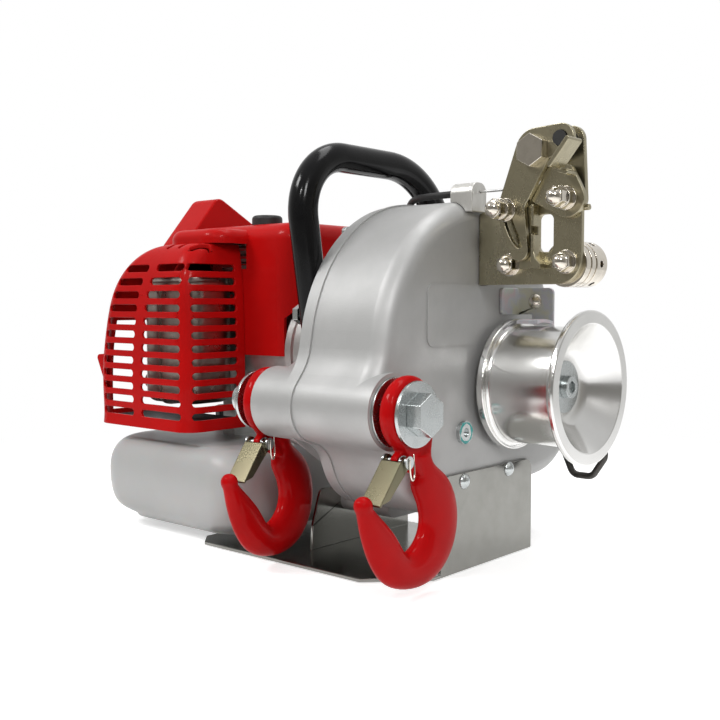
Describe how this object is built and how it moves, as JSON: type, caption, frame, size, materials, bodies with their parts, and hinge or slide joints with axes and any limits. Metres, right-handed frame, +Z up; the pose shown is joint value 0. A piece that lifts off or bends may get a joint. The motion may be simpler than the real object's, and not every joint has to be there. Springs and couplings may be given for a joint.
{
  "type": "portable capstan winch",
  "caption": "Petrol capstan winch: round cast gear case, polished capstan drum, air-cooled engine with red covers, carry handle, rope lock and two anchor hooks on a base plate.",
  "frame": {"origin": "middle of the base plate's underside", "axes": "+X along the drum axis from engine to drum, -Y to the front where the anchor hooks hang, +Z up"},
  "size_m": [0.4215, 0.2917, 0.303],
  "materials": {
    "cast_aluminium": "satin cast",
    "polished_aluminium": "polished",
    "engine_aluminium": "as cast",
    "red_enamel": "gloss enamel",
    "red_cover": "gloss",
    "black_tube": "gloss powder coat",
    "stainless_sheet": "bright rolled",
    "zinc_hardware": "zinc plated",
    "yellow_zinc": "yellow passivated",
    "nickel_plate": "satin nickel",
    "bright_nickel": "polished nickel",
    "gear_steel": "machined",
    "dark_steel": "dark oxide",
    "tank_plastic": "translucent",
    "black_plastic": "satin",
    "black_rubber": "satin"
  },
  "bodies": {
    "frame": {"gear_case": "cast_aluminium", "case_cover": "cast_aluminium", "clutch_housing": "engine_aluminium", "crankcase": "engine_aluminium", "cylinder": "engine_aluminium", "carburettor": "engine_aluminium", "muffler_guard": "red_cover", "engine_hood": "red_cover", "starter_cover": "red_cover", "handle": "black_tube", "base_plate": "stainless_sheet", "base_screws": "zinc_hardware", "case_bolts": "zinc_hardware", "anchor_bolt": "zinc_hardware", "anchor_nut": "zinc_hardware", "anchor_washers": "zinc_hardware", "oil_plug": "zinc_hardware", "rope_guard": "yellow_zinc", "lock_bracket": "nickel_plate", "jaw_block": "nickel_plate", "cable_lug": "nickel_plate", "spring_hub": "nickel_plate", "lock_bolts": "bright_nickel", "shaft_bearings": "gear_steel", "throttle_wire": "gear_steel", "spark_plug": "gear_steel", "muffler": "dark_steel", "rope_keeper": "dark_steel", "fuel_tank": "tank_plastic", "air_cleaner": "black_plastic", "plug_cap": "black_rubber", "fuel_line": "black_rubber", "throttle_cable": "black_rubber", "output_seal": "black_rubber"},
    "drum": {"drum": "polished_aluminium", "drum_bolt": "zinc_hardware", "output_shaft": "gear_steel", "output_gear": "gear_steel"},
    "first_countershaft": {"first_cluster_gear": "gear_steel"},
    "second_countershaft": {"second_cluster_gear": "gear_steel"},
    "input_shaft": {"input_pinion": "gear_steel", "clutch_drum": "gear_steel"},
    "crank": {"crankshaft": "gear_steel", "flywheel": "engine_aluminium", "clutch_shoes": "gear_steel"},
    "right_hook": {"hook_right": "red_enamel", "latch_pivot_right": "zinc_hardware"},
    "right_latch": {"latch_right": "yellow_zinc"},
    "left_hook": {"hook_left": "red_enamel", "latch_pivot_left": "zinc_hardware"},
    "left_latch": {"latch_left": "yellow_zinc"},
    "lock_arm": {"lock_arm_front": "nickel_plate", "lock_arm_rear": "nickel_plate", "arm_bolt": "bright_nickel", "rubber_bumper": "black_rubber"},
    "rope_cam": {"cam_lever": "nickel_plate"},
    "throttle": {"throttle_lever": "gear_steel"},
    "filler_cap": {"tank_cap": "black_plastic"},
    "starter": {"starter_grip": "black_plastic"}
  },
  "joints": [
    {"name": "drum_spin", "type": "hinge", "parent": "frame", "child": "drum", "pos_m": [0.14, 0.047, 0.128], "axis": [1, 0, 0], "continuous": true},
    {"name": "second_spin", "type": "hinge", "parent": "frame", "child": "second_countershaft", "pos_m": [0.06, -0.00478, 0.09768], "axis": [1, 0, 0], "continuous": true},
    {"name": "first_spin", "type": "hinge", "parent": "frame", "child": "first_countershaft", "pos_m": [0.06, -0.01873, 0.14361], "axis": [1, 0, 0], "continuous": true},
    {"name": "input_spin", "type": "hinge", "parent": "frame", "child": "input_shaft", "pos_m": [0.02, 0.017, 0.148], "axis": [1, 0, 0], "continuous": true},
    {"name": "crank_spin", "type": "hinge", "parent": "frame", "child": "crank", "pos_m": [-0.1, 0.017, 0.148], "axis": [1, 0, 0], "continuous": true},
    {"name": "right_hook_swing", "type": "hinge", "parent": "frame", "child": "right_hook", "pos_m": [0.1155, -0.088, 0.118], "axis": [1, 0, 0], "range_deg": [-100, 10]},
    {"name": "right_latch_turn", "type": "hinge", "parent": "right_hook", "child": "right_latch", "pos_m": [0.1155, -0.098, 0.089], "axis": [1, 0, 0], "range_deg": [0, 40], "stiffness_Nm_per_rad": 0.03, "springref_deg": -22.92},
    {"name": "left_hook_swing", "type": "hinge", "parent": "frame", "child": "left_hook", "pos_m": [-0.01037, -0.088, 0.118], "axis": [1, 0, 0], "range_deg": [-100, 0]},
    {"name": "left_latch_turn", "type": "hinge", "parent": "left_hook", "child": "left_latch", "pos_m": [-0.00898, -0.0979, 0.089], "axis": [0.9903, 0.1392, 0], "range_deg": [0, 40], "stiffness_Nm_per_rad": 0.03, "springref_deg": -22.92},
    {"name": "lock_arm_turn", "type": "hinge", "parent": "frame", "child": "lock_arm", "pos_m": [0.174, 0.005, 0.255], "axis": [0, 1, 0], "range_deg": [0, 33], "stiffness_Nm_per_rad": 0.6, "springref_deg": -22.92},
    {"name": "rope_cam_turn", "type": "hinge", "parent": "frame", "child": "rope_cam", "pos_m": [0.174, 0.005, 0.255], "axis": [0, 1, 0], "range_deg": [0, 40], "stiffness_Nm_per_rad": 0.2, "springref_deg": -22.92},
    {"name": "throttle_turn", "type": "hinge", "parent": "frame", "child": "throttle", "pos_m": [-0.105, 0.074, 0.222], "axis": [0, 0, 1], "range_deg": [0, 26]},
    {"name": "filler_cap_turn", "type": "hinge", "parent": "frame", "child": "filler_cap", "pos_m": [-0.182, 0.036, 0.086], "axis": [0, 0, 1], "continuous": true},
    {"name": "starter_pull", "type": "slide", "parent": "frame", "child": "starter", "axis": [0, 1, 0], "range_m": [0, 0.09], "stiffness_N_per_m": 40, "springref_m": -0.1}
  ],
  "couplings": [
    {"joint": "second_spin", "follows": "drum_spin", "ratio": -3.6154},
    {"joint": "first_spin", "follows": "drum_spin", "ratio": 15.667},
    {"joint": "input_spin", "follows": "drum_spin", "ratio": -78.333},
    {"joint": "throttle_turn", "follows": "rope_cam_turn", "ratio": 0.64}
  ]
}
